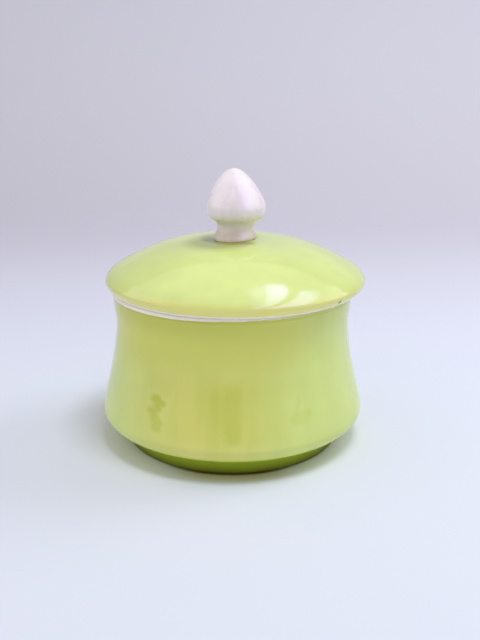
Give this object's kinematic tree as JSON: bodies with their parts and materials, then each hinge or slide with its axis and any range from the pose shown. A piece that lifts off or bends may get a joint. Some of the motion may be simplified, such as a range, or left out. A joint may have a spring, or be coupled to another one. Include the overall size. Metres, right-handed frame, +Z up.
{
  "type": "sugar bowl",
  "caption": "Round covered sugar bowl in glazed porcelain: drawn-in waist, foot ring, and a loose domed lid with a locating flange and a bud-shaped knob.",
  "frame": {"origin": "centre of the foot ring, on the plane it stands on", "axes": "+Z up along the bowl's axis of turning; +X is the side towards which the lid has settled"},
  "size_m": [0.11, 0.11, 0.112],
  "materials": {
    "bowl": "gloss",
    "lid": "gloss",
    "knob": "gloss"
  },
  "bodies": {
    "bowl": {"bowl": "bowl"},
    "cover": {"lid": "lid", "knob": "knob"}
  },
  "joints": [
    {"name": "lid_lift", "type": "slide", "parent": "bowl", "child": "cover", "axis": [0, 0, 1], "range_m": [0, 0.06]}
  ]
}
